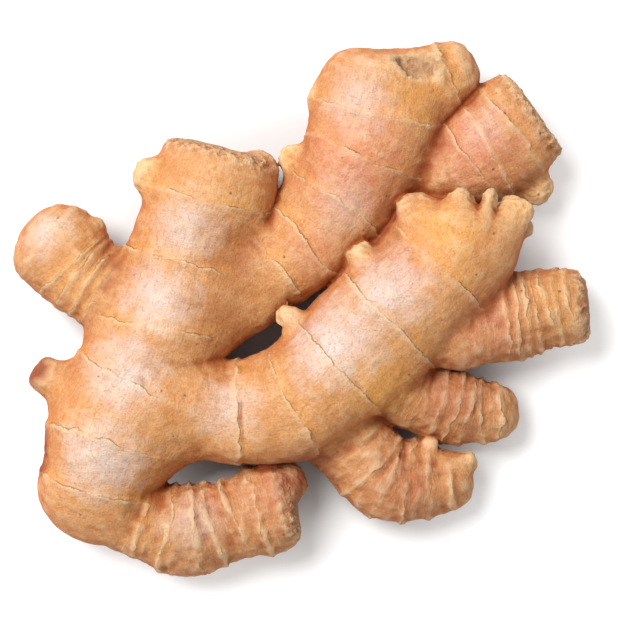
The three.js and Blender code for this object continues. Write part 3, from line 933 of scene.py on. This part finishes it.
class GINGER_PG_finish(bpy.types.PropertyGroup):
    """The texture of the skin."""
    mottle: length("Mottling", "Width of a pale patch", 0.006, SMALLEST)
    grit: length("Grit", "Width of a grain of the skin", 0.0009, SMALLEST)
    pore: length("Pores", "Width of a pore", 0.00045, SMALLEST)
    speck_gap: length("Speck spacing", "Distance between specks", 0.005, SMALLEST)
    crack_gap: length("Crack spacing", "Distance between hairline cracks", 0.011, SMALLEST)
    crack_bend: length("Crack bends", "Size of the bends of a hairline crack", 0.006, SMALLEST)
    roughness: number_of("Roughness", "How dull the skin is", 0.52, 0.1, max=0.9, subtype="FACTOR")
    bump: number_of("Texture strength", "How strongly the finest relief shows", 0.7, max=2)


class GINGER_PG_stage(bpy.types.PropertyGroup):
    """The studio."""
    floor_width: length("Floor width", "Side of the board that the root lies on", 4.0)
    floor: colour_of("Floor", "Colour of the board", "c8c8c8")
    # Painted light: the board glows away from the root; no light stands behind it.
    floor_glow: number_of("Floor glow", "Strength of the light behind the board", 0.4)
    air: colour_of("Air", "Colour of the soft light from all round", "ffffff")
    air_strength: number_of("Soft light", "Strength of the light from all round", 0.6)
    key_power: number_of("Lamp", "Power of the soft lamp at the upper left", 36.5,
                         subtype="POWER", unit="POWER")
    key_size: length("Lamp size", "Width of the lamp", 0.9)
    camera_height: length("Camera height", "Height of the camera over the floor", 0.9)
    view_width: length("View width", "Width of the picture at the fingers' middle height", 0.16)


class GINGER_OT_skin(bpy.types.Operator):
    """Grow the whole root's skin over the solid"""
    bl_idname = "ginger.skin"
    bl_label = "Grow Skin"
    bl_options = {"REGISTER", "UNDO"}

    def execute(self, context):
        points, faces, marks, grain = grow_skin(context.scene.ginger_sizes)
        low, high = (np.array(corner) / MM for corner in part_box(NODE))
        offset = (low + high - points.min(0) - points.max(0)) / 2
        offset[2] = 0
        mesh = mesh_from("skin", points + offset, faces)
        mesh.shade_smooth()
        for name in MARKS:
            mesh.attributes.new(name, "FLOAT", "POINT").data.foreach_set("value", marks[name])
        mesh.attributes.new("grain", "FLOAT_VECTOR", "CORNER").data.foreach_set("vector", grain.ravel())
        mesh.materials.append(skin_material(context.scene.ginger_colours, context.scene.ginger_finish))
        skin = bpy.data.objects.new("skin", mesh)
        context.scene.collection.objects.link(skin)
        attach(skin, BODY)
        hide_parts(NODE)
        return {"FINISHED"}


class GINGER_OT_stage(bpy.types.Operator):
    """Set up the white floor, the soft lights and the camera"""
    bl_idname = "ginger.stage"
    bl_label = "Set Stage"
    bl_options = {"REGISTER", "UNDO"}

    def execute(self, context):
        scene = context.scene
        stage = scene.ginger_stage
        half = stage.floor_width / 2
        corners = [(-half, -half, 0), (half, -half, 0), (half, half, 0), (-half, half, 0)]
        mesh = bpy.data.meshes.new("floor")
        mesh.from_pydata(corners, [], [(0, 1, 2, 3)])
        mesh.materials.append(floor_material(stage.floor, stage.floor_glow))
        floor = bpy.data.objects.new("floor", mesh)
        floor.location.z = FLOOR_DROP
        scene.collection.objects.link(floor)

        world = bpy.data.worlds.new("studio air")
        world.use_nodes = True
        air = world.node_tree.nodes["Background"]
        air.inputs["Color"].default_value = (*stage.air, 1)
        air.inputs["Strength"].default_value = stage.air_strength
        scene.world = world

        lamp = bpy.data.lights.new("soft lamp", "AREA")
        lamp.shape = "DISK"
        lamp.size = stage.key_size
        lamp.energy = stage.key_power
        key = bpy.data.objects.new("soft lamp", lamp)
        key.location = LAMP_PLACE
        key.rotation_euler = (-Vector(LAMP_PLACE)).to_track_quat("-Z", "Y").to_euler()
        scene.collection.objects.link(key)

        view = bpy.data.cameras.new("camera")
        view.sensor_width = 36
        view.lens = view.sensor_width * (stage.camera_height - FINGER_HEIGHT) / stage.view_width
        view.clip_start = 0.01
        camera = bpy.data.objects.new("camera", view)
        camera.location = (*VIEW_MIDDLE, stage.camera_height)
        scene.collection.objects.link(camera)
        scene.camera = camera
        scene.view_settings.view_transform = "Standard"
        return {"FINISHED"}


class GINGER_PT_panel(bpy.types.Panel):
    """The root's pieces and settings"""
    bl_idname = "GINGER_PT_panel"
    bl_label = "Ginger Root"
    bl_space_type = "VIEW_3D"
    bl_region_type = "UI"
    bl_category = "Ginger"

    def draw(self, context):
        for operator in OPERATORS:
            self.layout.operator(operator.bl_idname)
        for name, group in GROUPS.items():
            box = self.layout.box()
            for prop in group.__annotations__:
                box.prop(getattr(context.scene, name), prop)


GROUPS = {
    "ginger_sizes": GINGER_PG_sizes,
    "ginger_colours": GINGER_PG_colours,
    "ginger_finish": GINGER_PG_finish,
    "ginger_stage": GINGER_PG_stage,
}
OPERATORS = (GINGER_OT_skin, GINGER_OT_stage)


def register():
    for cls in (*GROUPS.values(), *OPERATORS, GINGER_PT_panel):
        bpy.utils.register_class(cls)
    for name, group in GROUPS.items():
        setattr(bpy.types.Scene, name, bpy.props.PointerProperty(type=group))


def unregister():
    for name in GROUPS:
        delattr(bpy.types.Scene, name)
    for cls in reversed((*GROUPS.values(), *OPERATORS, GINGER_PT_panel)):
        bpy.utils.unregister_class(cls)


def main():
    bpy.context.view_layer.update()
    register()
    bpy.ops.ginger.skin()
    bpy.ops.ginger.stage()
    bpy.context.view_layer.update()


if __name__ == "__main__":
    main()
